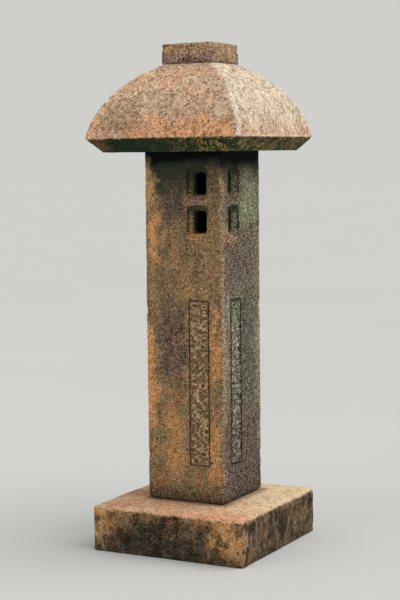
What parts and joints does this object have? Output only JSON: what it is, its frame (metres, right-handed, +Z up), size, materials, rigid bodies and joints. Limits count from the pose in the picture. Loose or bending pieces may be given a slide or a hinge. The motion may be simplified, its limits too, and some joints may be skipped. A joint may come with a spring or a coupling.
{
  "type": "stone lantern",
  "caption": "Square post garden lantern in cast stone: plinth, hollow column with small windows and incised panels, domed square roof and block finial, with a lamp kit on a shelf inside.",
  "frame": {"origin": "centre of the plinth's underside, on the ground", "axes": "+Z up the column's axis; -Y out of the front face, which has windows and a panel; +X out of the right face, which has them too"},
  "size_m": [0.306, 0.306, 0.9122],
  "materials": {
    "plinth_stone": "rough cast, weathered, matte",
    "column_stone": "rough cast, stained, matte",
    "roof_stone": "chiselled, weathered, matte",
    "finial_stone": "rough cast, weathered, matte",
    "mortar": "raked joint, matte",
    "stainless_steel": "mill finish",
    "zinc_plate": "bright zinc plate",
    "brass": "plain",
    "grey_plastic": "extruded",
    "black_plastic": "moulded, satin",
    "black_rubber": "matte",
    "white_ceramic": "unglazed, smooth",
    "clear_glass": "clear"
  },
  "bodies": {
    "base": {"plinth": "plinth_stone", "column_bedding": "mortar", "column_dowel_1": "stainless_steel", "column_dowel_2": "stainless_steel", "cable_sleeve": "grey_plastic", "column": "column_stone", "roof_pad_1": "black_rubber", "roof_pad_2": "black_rubber", "roof_pad_3": "black_rubber", "roof_pad_4": "black_rubber"},
    "roof": {"roof": "roof_stone"},
    "finial": {"finial": "finial_stone"},
    "shelf": {"lamp_shelf": "stainless_steel", "gland_body": "black_plastic", "gland_locknut": "black_plastic", "gland_cap": "black_plastic", "gland_seal": "black_rubber", "lampholder": "white_ceramic", "lampholder_screw_1": "zinc_plate", "lampholder_screw_2": "zinc_plate", "lampholder_nut_1": "zinc_plate", "lampholder_nut_2": "zinc_plate", "lamp_contact_1": "brass", "lamp_contact_2": "brass"},
    "lamp": {"lamp_glass": "clear_glass", "lamp_pin_1": "zinc_plate", "lamp_pin_2": "zinc_plate"}
  },
  "joints": [
    {"name": "roof_lift", "type": "slide", "parent": "base", "child": "roof", "axis": [0, 0, 1], "range_m": [0, 0.15]},
    {"name": "finial_lift", "type": "slide", "parent": "roof", "child": "finial", "axis": [0, 0, 1], "range_m": [0, 0.05]},
    {"name": "shelf_lift", "type": "slide", "parent": "base", "child": "shelf", "axis": [0, 0, 1], "range_m": [0, 0.22]},
    {"name": "lamp_pull", "type": "slide", "parent": "shelf", "child": "lamp", "axis": [0, 0, 1], "range_m": [0, 0.012]}
  ]
}
